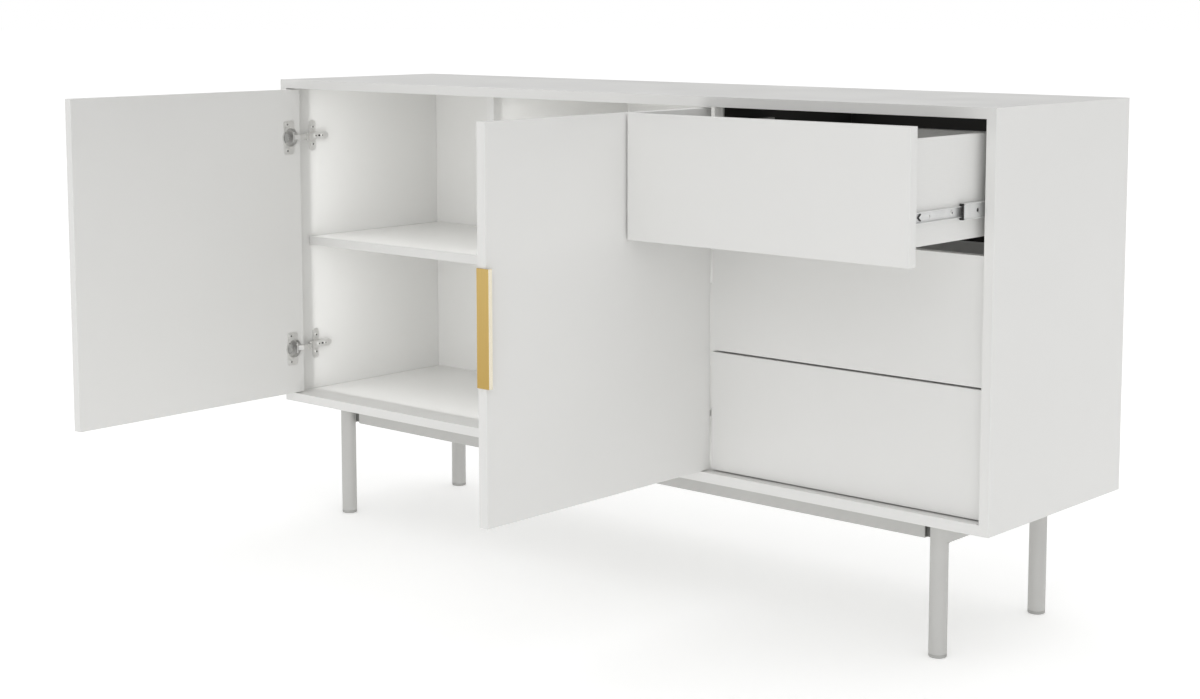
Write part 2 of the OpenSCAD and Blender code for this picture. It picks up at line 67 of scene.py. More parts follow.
def span(node):
    """Lowest and highest corner of a CAD node, in millimetres."""
    lo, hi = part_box(node)
    return lo / MM, hi / MM


# Sizes that the hardware takes from the frame, in millimetres
LEFT_PARTITION = span("left_partition")
RIGHT_PARTITION = span("right_partition")
RIGHT_SIDE = span("right_side_panel")
LEFT_SIDE = span("left_side_panel")
BACK = span("back_panel")
LEG = span("back_right_leg")
SIDE_RAIL = span("right_side_rail")
FRONT = span("middle_drawer_front")
BOARD = FRONT[1].y - FRONT[0].y
WALLS = {"left": (RIGHT_PARTITION[1].x, 1), "right": (RIGHT_SIDE[0].x, -1)}
BAY_TOP = RIGHT_PARTITION[1].z
BAY_FLOOR = RIGHT_PARTITION[0].z

# Hinge sizes, in a door's own plan: a from the hinge edge, b from the front face
CUP_R = 17.5
CUP_DEEP = 11.5
CUP_A = 22.5
CUP_WALL = 1.0
CUP_PIN = (13, BOARD - 2.4)
CUP_PIN_R = 1.25
CUP_PIN_HALF = 9.5
CUP_SCREW_A = CUP_A + 9
CUP_SCREW_Z = 24
FLANGE_T = 1.2
FLANGE_W = 24.5
FLANGE_H = 61.0
FLANGE_A = CUP_A - 8
LINK_PIN = (12.0, BOARD + 4)
PLATE_B = (BOARD + 13, BOARD + 50)
PLATE_T = 1.6
PLATE_BLOCK = 5.5
PLATE_SCREW_Z = 16
WING_B = BOARD + 20
WING_W = 15.0
WING_H = 56.0
ARM_T = 5.0
ARM_END = BOARD + 53
ARM_W = 13.0
ARM_SCREWS = ((BOARD + 27.5, 7.4), (BOARD + 43, 6.4))
HINGE_FOLD = 0.0045
HINGE_Z = (span("left_hinge_cups")[0].z + FLANGE_H / 2, span("left_hinge_cups")[1].z - FLANGE_H / 2)

# Slide sizes: u from the wall to the drawer, y from the member's front end, w up from its centre
SLIDE_SPACE = 12.5
SLIDE_STEEL = 1.2
SLIDE_Z = {
    d: (span(f"{d}_drawer_runners")[0].z + span(f"{d}_drawer_runners")[1].z) / 2 for d in DRAWERS
}
CASE_SCREWS_Y = (12, 230)
RUNNER_SCREWS_Y = (100, 190, 262)
# Holes of a member: their places along y, their diameter, and where the drill starts and stops in u
CASE_HOLES = ((48, 96, 160, 270), 5.0, (-0.5, 2.0))
MIDRAIL_HOLES = ((35, 90, 170), 6.4, (4.0, 7.0))
RUNNER_HOLES = ((46, 150, 215), 3.8, (10.6, 13.0))
CAGE_U = (8.2, 10.9)
CAGE_Y = (8, 150)
CAGE_W = (8.72, 9.08)
BALL_R = 1.02
BALL_U, BALL_W = 9.5, 8.9
BALLS_Y = [14 + 12 * step for step in range(12)]
KEEPER_U = (5.2, 10.6)
KEEPER_W = (8.1, 11.2)
PLUG_R = 4.4
PLUGS_Y = (35, 90)
CATCH_Y = 17
CATCH_LEAN = 38

# Screws: the shank's radius and length
SHANK_R = 1.9
SHANK_LONG = 11

# Back panel nails: how far they stand from the panel's edge, and from each other at most
NAIL_INSET = 4.0
NAIL_GAP = 118.0

# Weld beads: their size, and how many run up each seam and under the side rail
BEAD_R = 1.55
BEAD_STEP = 1.7
BEADS_UP = 20
BEADS_UNDER = 19

# Studio sizes, in metres
FLOOR_RADIUS = 60
BAY_LAMP = (0.46, 0.21)


# ---------------------------------------------------------------- shapes


def box_shape(lo, hi):
    """A box between two corners."""
    lo, hi = Vector(lo), Vector(hi)
    shape = bmesh.new()
    place = Matrix.Translation((lo + hi) / 2) @ Matrix.Diagonal((*(hi - lo), 1))
    bmesh.ops.create_cube(shape, size=1, matrix=place)
    return shape


def along(axis):
    """Picks the edges that run along an axis."""
    return lambda edge: abs((edge.verts[1].co - edge.verts[0].co).normalized()[axis]) > 0.99


def soften(shape, width, segments=2, angle=30, keep=None):
    """Bevels the edges that turn by more than an angle."""
    edges = [
        e
        for e in shape.edges
        if len(e.link_faces) == 2
        and e.calc_face_angle(0) > math.radians(angle)
        and (keep is None or keep(e))
    ]
    bmesh.ops.bevel(
        shape,
        geom=edges,
        offset=width,
        offset_type="OFFSET",
        segments=segments,
        profile=0.5,
        affect="EDGES",
        clamp_overlap=True,
        material=-1,
    )
    return shape


def plate_shape(lo, hi, axis, corner, rim):
    """A plate across an axis, with rounded corners and softened rims."""
    shape = soften(box_shape(lo, hi), corner, 6, keep=along(axis))
    return soften(shape, rim, 1, angle=60)


def rod_shape(p, q, radius, segments):
    """A round rod from p to q."""
    p, q = Vector(p), Vector(q)
    turn = (q - p).to_track_quat("Z", "Y").to_matrix().to_4x4()
    shape = bmesh.new()
    bmesh.ops.create_cone(
        shape,
        cap_ends=True,
        segments=segments,
        radius1=radius,
        radius2=radius,
        depth=(q - p).length,
        matrix=Matrix.Translation((p + q) / 2) @ turn,
    )
    return shape


def turned_shape(profile, segments):
    """A closed shape turned round Z from (radius, height) points that begin and end on the axis."""
    shape = bmesh.new()
    verts = [shape.verts.new((r, 0, z)) for r, z in profile]
    edges = [shape.edges.new(pair) for pair in zip(verts, verts[1:])]
    bmesh.ops.spin(
        shape,
        geom=verts + edges,
        cent=(0, 0, 0),
        axis=(0, 0, 1),
        angle=math.tau,
        steps=segments,
        use_merge=True,
        use_duplicate=False,
    )
    bmesh.ops.remove_doubles(shape, verts=shape.verts, dist=1e-4)
    bmesh.ops.recalc_face_normals(shape, faces=shape.faces)
    return shape


def ball_shape(centre, radius, flat=(1, 1, 1)):
    """A ball, which may be flattened along the axes."""
    shape = bmesh.new()
    place = Matrix.Translation(centre) @ Matrix.Diagonal((*flat, 1))
    bmesh.ops.create_icosphere(shape, subdivisions=2, radius=radius, matrix=place)
    return shape


def cut_shape(shape, *cutters):
    """The shape with the cutters taken out of it."""
    for cutter in cutters:
        made = []
        for part in (shape, cutter):
            mesh = bpy.data.meshes.new("cutting")
            part.to_mesh(mesh)
            part.free()
            made.append(bpy.data.objects.new("cutting", mesh))
            bpy.context.scene.collection.objects.link(made[-1])
        modifier = made[0].modifiers.new("cut", "BOOLEAN")
        modifier.operation = "DIFFERENCE"
        modifier.solver = "EXACT"
        modifier.object = made[1]
        shape = bmesh.new()
        shape.from_object(made[0], bpy.context.evaluated_depsgraph_get())
        for item in made:
            mesh = item.data
            bpy.data.objects.remove(item)
            bpy.data.meshes.remove(mesh)
    return shape


def add(whole, part, place=None, slot=None, keep=False):
    """Adds a part to a whole, at a place and in a material slot, or in the part's own slots."""
    if keep:
        part = part.copy()
    if slot is not None:
        for face in part.faces:
            face.material_index = slot
    if place is not None:
        bmesh.ops.transform(part, matrix=place, verts=part.verts)
        if place.determinant() < 0:
            bmesh.ops.reverse_faces(part, faces=part.faces)
    mesh = bpy.data.meshes.new("part")
    part.to_mesh(mesh)
    part.free()
    whole.from_mesh(mesh)
    bpy.data.meshes.remove(mesh)
    return whole


def on_x_axis(sign=1):
    """Turns a shape that stands on Z so that it stands on +X or -X."""
    return Matrix.Rotation(math.radians(90 * sign), 4, "Y")


def make_piece(name, shape, finishes, body, slot, replaced=(), scale=MM, smooth_below=16):
    """Turns a shape into a piece with the named finishes that rides on a body."""
    if scale != 1:
        bmesh.ops.scale(shape, vec=(scale, scale, scale), verts=shape.verts)
    mesh = bpy.data.meshes.new(name)
    shape.to_mesh(mesh)
    shape.free()
    for coat in finishes:
        mesh.materials.append(finish(coat))
    for polygon in mesh.polygons:
        polygon.use_smooth = smooth_below > 0
    if smooth_below > 0:
        mesh.set_sharp_from_angle(angle=math.radians(smooth_below))
    piece = bpy.data.objects.new(name, mesh)
    bpy.context.scene.collection.objects.link(piece)
    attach(piece, body)
    if replaced:
        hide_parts(*replaced)
    return piece


def refined_shape(node, width, longest_kept=0.1, segments=2):
    """A copy of a CAD node with its long edges and its outer edges softened, in metres."""
    shape = bmesh.new()
    shape.from_mesh(NODES[node].data)
    bmesh.ops.remove_doubles(shape, verts=shape.verts, dist=2e-6)
    bmesh.ops.dissolve_limit(
        shape, angle_limit=math.radians(1), verts=shape.verts, edges=shape.edges
    )
    lo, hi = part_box(node)

    def outer(edge):
        p, q = edge.verts[0].co, edge.verts[1].co
        sides = sum(
            any(abs(p[i] - s[i]) < 1e-5 and abs(q[i] - s[i]) < 1e-5 for s in (lo, hi))
            for i in range(3)
        )
        return sides >= 2 or edge.calc_length() > longest_kept

    return soften(shape, width, segments, keep=outer)


def refined_piece(node, name, coat, body, slot, width, **options):
    """A piece that stands for a CAD node, with softened edges and one finish."""
    shape = refined_shape(node, width, **options)
    return make_piece(name, shape, (coat,), body, slot, (node,), scale=1, smooth_below=0)


# ---------------------------------------------------------------- finishes


class Finish:
    """A material in the making: its node tree, its shader and its coordinates."""

    def __init__(self, name, metallic=0.0, specular=0.5):
        self.material = bpy.data.materials.new(name)
        self.material.use_nodes = True
        self.tree = self.material.node_tree
        self.shader = self.tree.nodes["Principled BSDF"]
        self.shader.inputs["Metallic"].default_value = metallic
        self.shader.inputs["Specular IOR Level"].default_value = specular
        self.place = self.node("ShaderNodeTexCoord").outputs["Object"]

    def node(self, kind, **settings):
        """A new node of a kind, with its settings."""
        made = self.tree.nodes.new(kind)
        for name, value in settings.items():
            setattr(made, name, value)
        return made

    def link(self, source, target):
        """Joins an output to an input."""
        self.tree.links.new(source, target)

    def noise(self, stretch, detail, rough=0.55):
        """Noise whose grains are 1 / stretch metres long on each axis."""
        mapping = self.node("ShaderNodeMapping")
        mapping.inputs["Scale"].default_value = stretch
        noise = self.node("ShaderNodeTexNoise")
        noise.inputs["Scale"].default_value = 1.0
        noise.inputs["Detail"].default_value = detail
        noise.inputs["Roughness"].default_value = rough
        self.link(self.place, mapping.inputs["Vector"])
        self.link(mapping.outputs["Vector"], noise.inputs["Vector"])
        return noise.outputs["Fac"]

    def ramp(self, source, low, high, out_low, out_high):
        """Spreads a value from one range to another, and stops at its ends."""
        spread = self.node("ShaderNodeMapRange", clamp=True)
        for name, value in (
            ("From Min", low),
            ("From Max", high),
            ("To Min", out_low),
            ("To Max", out_high),
        ):
            spread.inputs[name].default_value = value
        self.link(source, spread.inputs["Value"])
        return spread.outputs["Result"]

    def cloudy(self, color, source, low, high, dark, light):
        """A colour that goes from a darker to a lighter tint as a value rises."""
        return self.mix(self.ramp(source, low, high, 0, 1), tint(color, dark), tint(color, light))

    def mix(self, amount, first, second):
        """Mixes two colours, or an output and a colour, by an amount."""
        mixer = self.node("ShaderNodeMix", data_type="RGBA")
        self.link(amount, mixer.inputs["Factor"])
        for name, value in (("A", first), ("B", second)):
            socket = [s for s in mixer.inputs if s.name == name and s.type == "RGBA"][0]
            if isinstance(value, bpy.types.NodeSocket):
                self.link(value, socket)
            else:
                socket.default_value = (*value, 1)
        return [s for s in mixer.outputs if s.type == "RGBA"][0]

    def product(self, values):
        """All the values multiplied together."""
        result = values[0]
        for value in values[1:]:
            times = self.node("ShaderNodeMath", operation="MULTIPLY")
            self.link(result, times.inputs[0])
            self.link(value, times.inputs[1])
            result = times.outputs[0]
        return result

    def inside(self, lo, hi):
        """One inside a box of the cabinet, and nought outside it."""
        axes = self.node("ShaderNodeSeparateXYZ")
        self.link(self.place, axes.inputs[0])
        tests = []
        for axis in range(3):
            for operation, limit in (("GREATER_THAN", lo[axis]), ("LESS_THAN", hi[axis])):
                test = self.node("ShaderNodeMath", operation=operation)
                self.link(axes.outputs[axis], test.inputs[0])
                test.inputs[1].default_value = limit
                tests.append(test.outputs[0])
        return self.product(tests)

    def bump(self, height, distance, strength):
        """Raises the surface by a height map, distance in metres."""
        bump = self.node("ShaderNodeBump")
        bump.inputs["Strength"].default_value = strength
        bump.inputs["Distance"].default_value = distance
        self.link(height, bump.inputs["Height"])
        self.link(bump.outputs["Normal"], self.shader.inputs["Normal"])

    def set(self, name, output):
        """Joins an output to one of the shader's inputs."""
        self.link(output, self.shader.inputs[name])


def tint(color, factor):
    """A colour made lighter or darker."""
    return tuple(min(1.0, max(0.0, c * factor)) for c in color)


def board_finish(name, color, rough=(0.36, 0.48), painted_shade_bay=None):
    """Satin melamine: a faint mottle, a fine pressed grain and, inside the drawer bay, painted
    shade: a near-black tint for the shade in the closed bay.
    """
    finish = Finish(name)
    cloud = finish.noise((2.2, 2.2, 2.2), 5)
    speck = finish.noise((620, 620, 620), 2)
    base = finish.cloudy(color, cloud, 0.3, 0.7, 0.985, 1.01)
    base = finish.mix(finish.ramp(speck, 0.62, 0.78, 0, 0.10), base, tint(color, 0.86))
    # Painted shade: inside the drawer bay the boards' colour is swapped for a near-black tint,
    # which stands for the shade in the closed bay.
    if painted_shade_bay:
        bay_painted_shade_color = bpy.context.scene.sideboard_boards.bay_painted_shade_color
        base = finish.mix(finish.inside(*painted_shade_bay), base, bay_painted_shade_color)
    finish.set("Base Color", base)
    finish.set("Roughness", finish.ramp(finish.noise((9, 9, 9), 6), 0.3, 0.7, *rough))
    finish.bump(finish.noise((900, 900, 900), 3), 0.00004, 0.35)
    return finish.material


def lining_finish(name, color):
    """Matt foil with a faint linen press along and across."""
    finish = Finish(name)
    thread = finish.noise((1500, 60, 1500), 2)
    cross = finish.noise((60, 1500, 60), 2)
    both = finish.product([thread, cross])
    finish.set("Base Color", finish.cloudy(color, both, 0.15, 0.4, 0.985, 1.01))
    finish.set("Roughness", finish.ramp(finish.noise((14, 14, 14), 5), 0.3, 0.7, 0.5, 0.62))
    finish.bump(both, 0.00003, 0.3)
    return finish.material


def paint_finish(name, color):
    """Fine-textured powder coat."""
    finish = Finish(name)
    grain = finish.noise((1300, 1300, 1300), 4)
    cloud = finish.noise((6, 6, 6), 4)
    base = finish.cloudy(color, cloud, 0.3, 0.7, 0.96, 1.03)
    base = finish.mix(finish.ramp(grain, 0.55, 0.75, 0, 0.25), base, tint(color, 0.8))
    finish.set("Base Color", base)
    finish.set("Roughness", finish.ramp(grain, 0.3, 0.7, 0.38, 0.56))
    finish.bump(grain, 0.00009, 0.5)
    return finish.material


def metal_finish(name, color, grain, rough, bump=0.3, tarnish=0.9, metallic=1.0):
    """Drawn or brushed metal: its grain runs along the axis with the smallest number."""
    finish = Finish(name, metallic=metallic)
    lines = finish.noise(grain, 3, 0.6)
    smudge = finish.noise((45, 45, 45), 5)
    base = finish.mix(finish.ramp(smudge, 0.35, 0.75, 0, 1), color, tint(color, tarnish))
    base = finish.mix(finish.ramp(lines, 0.35, 0.65, 0, 0.3), base, tint(color, 0.8))
    finish.set("Base Color", base)
    finish.set("Roughness", finish.ramp(lines, 0.25, 0.75, *rough))
    finish.bump(lines, 0.00003, bump)
    return finish.material


def plastic_finish(name, color, rough=(0.42, 0.58)):
    """Moulded plastic with a spark-eroded grain."""
    finish = Finish(name)
    grain = finish.noise((2600, 2600, 2600), 2)
    cloud = finish.noise((80, 80, 80), 4)
    finish.set("Base Color", finish.cloudy(color, cloud, 0.3, 0.7, 0.92, 1.06))
    finish.set("Roughness", finish.ramp(grain, 0.3, 0.7, *rough))
    finish.bump(grain, 0.00004, 0.5)
    return finish.material


def wood_finish(name, color):
    """Bare beech, with its grain along Z."""
    finish = Finish(name)
    grain = finish.noise((420, 420, 22), 6, 0.65)
    finish.set("Base Color", finish.cloudy(color, grain, 0.35, 0.65, 0.72, 1.08))
    finish.set("Roughness", finish.ramp(grain, 0.3, 0.7, 0.55, 0.75))
    finish.bump(grain, 0.0001, 0.5)
    return finish.material


def gold_finish(name, color, low_color):
    """Brushed gold with its grain along Z, which deepens towards the handle's lower end."""
    finish = Finish(name, metallic=1.0)
    lo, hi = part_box("door_handle")
    axes = finish.node("ShaderNodeSeparateXYZ")
    finish.link(finish.place, axes.inputs[0])
    lines = finish.noise((2200, 2200, 14), 3, 0.6)
    base = finish.mix(finish.ramp(axes.outputs["Z"], lo.z, hi.z, 0, 1), low_color, color)
    base = finish.mix(finish.ramp(lines, 0.35, 0.65, 0, 0.3), base, tint(color, 0.8))
    finish.set("Base Color", base)
    finish.set("Roughness", finish.ramp(lines, 0.25, 0.75, 0.30, 0.44))
    finish.bump(lines, 0.00003, 0.25)
    return finish.material


FINISHES = {}


def finish_makers():
    """What makes the material of each finish, by the finish's name."""
    boards, metal = bpy.context.scene.sideboard_boards, bpy.context.scene.sideboard_metal
    white, lining = boards.color[:], boards.lining_color[:]
    # The box of the drawer bay, where the boards and the back panel get painted shade.
    bay = (
        Vector((RIGHT_PARTITION[1].x - 0.2, FRONT[1].y + 6, BAY_FLOOR - 0.2)) * MM,
        Vector((RIGHT_SIDE[0].x + 0.2, BACK[1].y, BAY_TOP + 0.2)) * MM,
    )
    return {
        "board": lambda: board_finish("white_melamine", white),
        "carcass": lambda: board_finish("white_melamine_carcass", white, painted_shade_bay=bay),
        "lining": lambda: lining_finish("drawer_lining", lining),
        "back": lambda: board_finish("back_panel_foil", lining, (0.5, 0.6), painted_shade_bay=bay),
        "paint": lambda: paint_finish("grey_powder_coat", metal.base_color[:]),
        # Painted shade: a dark grey for the joiners, which stands for the shade in the slot where
        # each rail meets a leg.
        "dark": lambda: paint_finish("joiner_painted_shade_coat", metal.joiner_shade_color[:]),
        "nickel": lambda: metal_finish(
            "nickel_plate", metal.steel_color[:], (300, 300, 300), (0.28, 0.42), 0.12, metallic=0.75
        ),
        "zinc": lambda: metal_finish(
            "zinc_plate", metal.slide_color[:], (900, 9, 900), (0.32, 0.48), 0.2, metallic=0.7
        ),
        # Painted shade: a near-black metal for the screws' cross recesses and the runners' catches,
        # which look dark only from shade.
        "recess": lambda: metal_finish(
            "screw_recess_painted_shade", (0.10, 0.10, 0.10), (900, 900, 900), (0.45, 0.6), 0.2
        ),
        "gold": lambda: gold_finish(
            "brushed_gold", metal.handle_color[:], metal.handle_low_color[:]
        ),
        # Painted highlight: a near-white cream for the lip's outer face, which stands for the glint
        # of the bright studio on the gold.
        "lip": lambda: metal_finish(
            "lip_painted_highlight", metal.lip_highlight_color[:], (2200, 2200, 14), (0.22, 0.30), 0.15, 0.98, 0.3
        ),
        "foot": lambda: plastic_finish("foot_plastic", metal.foot_color[:]),
        "black": lambda: plastic_finish("black_plastic", (0.018, 0.018, 0.018)),
        "clear_grey": lambda: plastic_finish("grey_plastic", (0.42, 0.42, 0.41)),
        "beech": lambda: wood_finish("bare_beech", (0.60, 0.40, 0.22)),
    }


def finish(name):
    """The finish of that name, made when it is first asked for."""
    if name not in FINISHES:
        FINISHES[name] = finish_makers()[name]()
    return FINISHES[name]


# ---------------------------------------------------------------- settings


def color_setting(name, description, default):
    """A colour that can be changed in the panel."""
    return bpy.props.FloatVectorProperty(
        name=name, description=description, subtype="COLOR", min=0, max=1, default=default
    )


class BoardSettings(bpy.types.PropertyGroup):
    """Colours and edges of the boards, and the painted shade inside the drawer bay."""

    color: color_setting("Board Colour", "Colour of the white boards", (0.80, 0.798, 0.783))
    lining_color: color_setting(
        "Lining Colour", "Colour of the drawer boxes and the back panel", (0.79, 0.788, 0.772)
    )
    # Painted shade: near-black tint for the boards' faces inside the drawer bay, which lie in
    # shade.
    bay_painted_shade_color: color_setting(
        "Drawer Bay Painted Shade",
        "Painted shade on the boards' faces inside the drawer bay",
        (0.045, 0.0445, 0.041),
    )
    edge_radius: bpy.props.FloatProperty(
        name="Edge Radius",
        description="Rounding of the boards' edges",
        unit="LENGTH",
        min=0.0001,
        max=0.002,
        default=0.0006,
    )


class MetalSettings(bpy.types.PropertyGroup):
    """Colours of the base, the fittings and the handle, with the painted shade of the joiners and
    the painted highlight of the handle's lip.
    """

    base_color: color_setting(
        "Base Colour", "Powder coat of the legs and rails", (0.58, 0.577, 0.56)
    )
    # Painted shade: the joiners' dark grey stands for the shade beside the legs.
    joiner_shade_color: color_setting(
        "Joiner Painted Shade", "Painted shade on the joiners between the rails", (0.19, 0.19, 0.182)
    )
    steel_color: color_setting(
        "Fittings Colour", "Nickel plate of the hinges and screws", (0.80, 0.795, 0.78)
    )
    slide_color: color_setting(
        "Slide Colour", "Zinc plate of the drawer slides", (0.82, 0.825, 0.82)
    )
    handle_color: color_setting(
        "Handle Colour", "Brushed gold of the handle's upper end", (0.70, 0.50, 0.185)
    )
    handle_low_color: color_setting(
        "Handle Low Colour", "Brushed gold of the handle's lower end", (0.56, 0.38, 0.12)
    )
    # Painted highlight: the cream colour of the lip's outer face.
    lip_highlight_color: color_setting(
        "Lip Painted Highlight", "Painted highlight on the outer face of the handle's lip", (1.0, 0.92, 0.74)
    )
    foot_color: color_setting("Foot Colour", "Plastic of the feet", (0.46, 0.46, 0.445))


class StudioSettings(bpy.types.PropertyGroup):
    """The camera, the lights and the floor."""

    camera_place: bpy.props.FloatVectorProperty(
        name="Camera Place",
        description="Where the camera stands",
        subtype="TRANSLATION",
        unit="LENGTH",
        default=(2.1824, -2.6104, 0.9460),
    )
    camera_turn: bpy.props.FloatProperty(
        name="Camera Turn",
        description="The camera's turn to the left of straight back",
        unit="ROTATION",
        default=math.radians(41.187),
    )
    camera_tilt: bpy.props.FloatProperty(
        name="Camera Tilt",
        description="How far the camera looks down",
        unit="ROTATION",
        default=math.radians(6.433),
    )
    camera_lens: bpy.props.FloatProperty(
        name="Lens",
        description="Focal length on a 36 mm sensor",
        unit="CAMERA",
        default=61.37,
    )
    camera_shift: bpy.props.FloatVectorProperty(
        name="Lens Shift",
        description="Shift of the lens, across and up",
        size=2,
        default=(-0.0145, -0.10),
    )
    sky: bpy.props.FloatProperty(
        name="Sky",
        description="Strength of the white sky overhead, which fades to the horizon",
        min=0,
        default=1.28,
    )
    fill: bpy.props.FloatProperty(
        name="Fill Light",
        description="Strength of the broad light beside the camera",
        min=0,
        default=0.50,
    )
    inside_power: bpy.props.FloatProperty(
        name="Inside Light",
        description="Power of the light in each open compartment",
        unit="POWER",
        min=0,
        default=0.62,
    )
    bay_power: bpy.props.FloatProperty(
        name="Bay Light",
        description="Power of the light in the drawer bay",
        unit="POWER",
        min=0,
        default=0.09,
    )
    floor_glow: bpy.props.FloatProperty(
        name="Floor Glow",
        description="How much the floor is lit from within",
        min=0,
        default=0.27,
    )
    floor_color: color_setting("Floor Colour", "Colour of the studio floor", (0.93, 0.93, 0.925))


# ---------------------------------------------------------------- boards


class SIDEBOARD_OT_cabinet_boards(bpy.types.Operator):
    """Softens the edges of the box, the partitions, the back and the shelves"""

    bl_idname = "sideboard.cabinet_boards"
    bl_label = "Cabinet Boards"

    def execute(self, context):
        radius = context.scene.sideboard_boards.edge_radius
        sides = ("top_panel", "bottom_panel", "left_side_panel", "right_side_panel")
        for node in (*sides, "left_partition", "right_partition"):
            refined_piece(node, f"{node}_board", "carcass", "cabinet", "white_board", radius)
        for node in ("left_shelf", "middle_shelf"):
            refined_piece(node, f"{node}_board", "board", "cabinet", "white_board", radius)
        refined_piece("back_panel", "back_panel_sheet", "back", "cabinet", "white_lining", 0.0002)
        NODES["partition_dowels"].data.materials[0] = finish("beech")
        NODES["shelf_pins"].data.materials[0] = finish("nickel")
        return {"FINISHED"}


class SIDEBOARD_OT_back_nails(bpy.types.Operator):
    """Drives small round-headed nails round the edge of the back panel"""

    bl_idname = "sideboard.back_nails"
    bl_label = "Back Panel Nails"

    def execute(self, context):
        lo, hi = BACK
        head = turned_shape([(0, 0), (1.9, 0), (1.8, 0.35), (1.3, 0.65), (0.6, 0.8), (0, 0.82)], 20)
        turn = Matrix.Rotation(math.radians(-90), 4, "X")
        inset = NAIL_INSET
        across = round((hi.x - lo.x - 2 * inset) / NAIL_GAP)
        up = round((hi.z - lo.z - 2 * inset) / NAIL_GAP)
        places = []
        for i in range(across + 1):
            x = lo.x + inset + (hi.x - lo.x - 2 * inset) * i / across
            places += [(x, lo.z + inset), (x, hi.z - inset)]
        for i in range(1, up):
            z = lo.z + inset + (hi.z - lo.z - 2 * inset) * i / up
            places += [(lo.x + inset, z), (hi.x - inset, z)]
            places += [(board[0].x + BOARD / 2, z) for board in (LEFT_PARTITION, RIGHT_PARTITION)]
        whole = bmesh.new()
        for x, z in places:
            add(whole, head, Matrix.Translation((x, hi.y, z)) @ turn, keep=True)
        head.free()
        make_piece("back_panel_nails", whole, ["zinc"], "cabinet", "hardware_steel")
        return {"FINISHED"}


class SIDEBOARD_OT_door_boards(bpy.types.Operator):
    """Softens the edges of the two doors"""

    bl_idname = "sideboard.door_boards"
    bl_label = "Doors"

    def execute(self, context):
        radius = context.scene.sideboard_boards.edge_radius
        for door in DOORS:
            body = f"{door}_door"
            refined_piece(body, f"{body}_board", "board", body, "white_board", radius)
        return {"FINISHED"}


class SIDEBOARD_OT_handle(bpy.types.Operator):
    """Rounds the edges of the gold handle and gives its lip's outer face a painted highlight"""

    bl_idname = "sideboard.handle"
    bl_label = "Handle"

    def execute(self, context):
        shape = refined_shape("door_handle", 0.00035, longest_kept=0.004, segments=3)
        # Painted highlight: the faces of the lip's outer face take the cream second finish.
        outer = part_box("door_handle")[1].x
        for face in shape.faces:
            if face.normal.x > 0.9 and face.calc_center_median().x > outer - 0.0005:
                face.material_index = 1
        make_piece(
            "gold_edge_handle",
            shape,
            ["gold", "lip"],
            "middle_door",
            "gold",
            ("door_handle",),
            scale=1,
            smooth_below=0,
        )
        return {"FINISHED"}


class SIDEBOARD_OT_drawers(bpy.types.Operator):
    """Softens the drawers' boards and adds the screws of their boxes"""

    bl_idname = "sideboard.drawers"
    bl_label = "Drawers"

    def execute(self, context):
        radius = context.scene.sideboard_boards.edge_radius
        for drawer in DRAWERS:
            body = f"{drawer}_drawer"
            front = f"{body}_front"
            refined_piece(front, f"{front}_board", "board", body, "white_board", radius)
            for part in ("left_side", "right_side", "back", "bottom"):
                node = f"{body}_{part}"
                refined_piece(node, f"{node}_board", "lining", body, "white_lining", 0.0005)
            self.box_screws(body)
        return {"FINISHED"}

    def box_screws(self, body):
        """Countersunk screws through a drawer's sides into its back."""
        whole = bmesh.new()
        head = flat_screw(6.6, 0.5)
        back_lo, back_hi = span(f"{body}_back")
        y = (back_lo.y + back_hi.y) / 2
        for part, sign, side in (("left_side", -1, 0), ("right_side", 1, 1)):
            box = span(f"{body}_{part}")
            for z in (box[0].z + 13, box[1].z - 22):
                place = Matrix.Translation((box[side].x, y, z)) @ on_x_axis(sign)
                add(whole, head, place, keep=True)
        head.free()
        make_piece(f"{body}_box_screws", whole, ["nickel", "recess"], body, "hardware_steel")


# ---------------------------------------------------------------- screws


def screw_head(profile, diameter, recess, top):
    """A head turned from its profile, with a cross recess cut down from its top whose faces are
    painted dark as shade.
    """
    head = turned_shape(profile, 32)
    arm, thin = diameter * 0.30, diameter * 0.075
    blades = []
    for turn in (0, 90):
        blade = box_shape((-arm, -thin, -recess), (arm, thin, 0.6))
        for vert in blade.verts:
            if vert.co.z < 0:
                vert.co.x *= 0.35
        place = Matrix.Translation((0, 0, top)) @ Matrix.Rotation(math.radians(turn), 4, "Z")
        bmesh.ops.transform(blade, matrix=place, verts=blade.verts)
        blades.append(blade)
    head = cut_shape(head, *blades)
    # Painted shade: the faces inside the recess take the near-black second finish.
    for face in head.faces:
        middle = face.calc_center_median()
        low = top - recess - 0.1 < middle.z < top - 0.05
        inward = face.normal.z < 0.9 or middle.z < top - 0.2
        if middle.xy.length < arm and low and inward:
            face.material_index = 1
    return head


def pan_screw(diameter, height):
    """A domed screw head that stands on its face."""
    r = diameter / 2
    profile = [
        (0, 0), (r, 0), (r, height * 0.35), (r * 0.93, height * 0.68),
        (r * 0.72, height * 0.93), (r * 0.45, height), (0, height),
    ]
    return screw_head(profile, diameter, height * 0.7, height)


def flat_screw(diameter, proud):
    """A countersunk screw head that is nearly level with its face."""
    r = diameter / 2
    profile = [
        (0, -r * 0.9), (r * 0.45, -r * 0.8), (r, 0), (r, proud * 0.5), (r * 0.88, proud), (0, proud)
    ]
    return screw_head(profile, diameter, r * 0.55, proud)


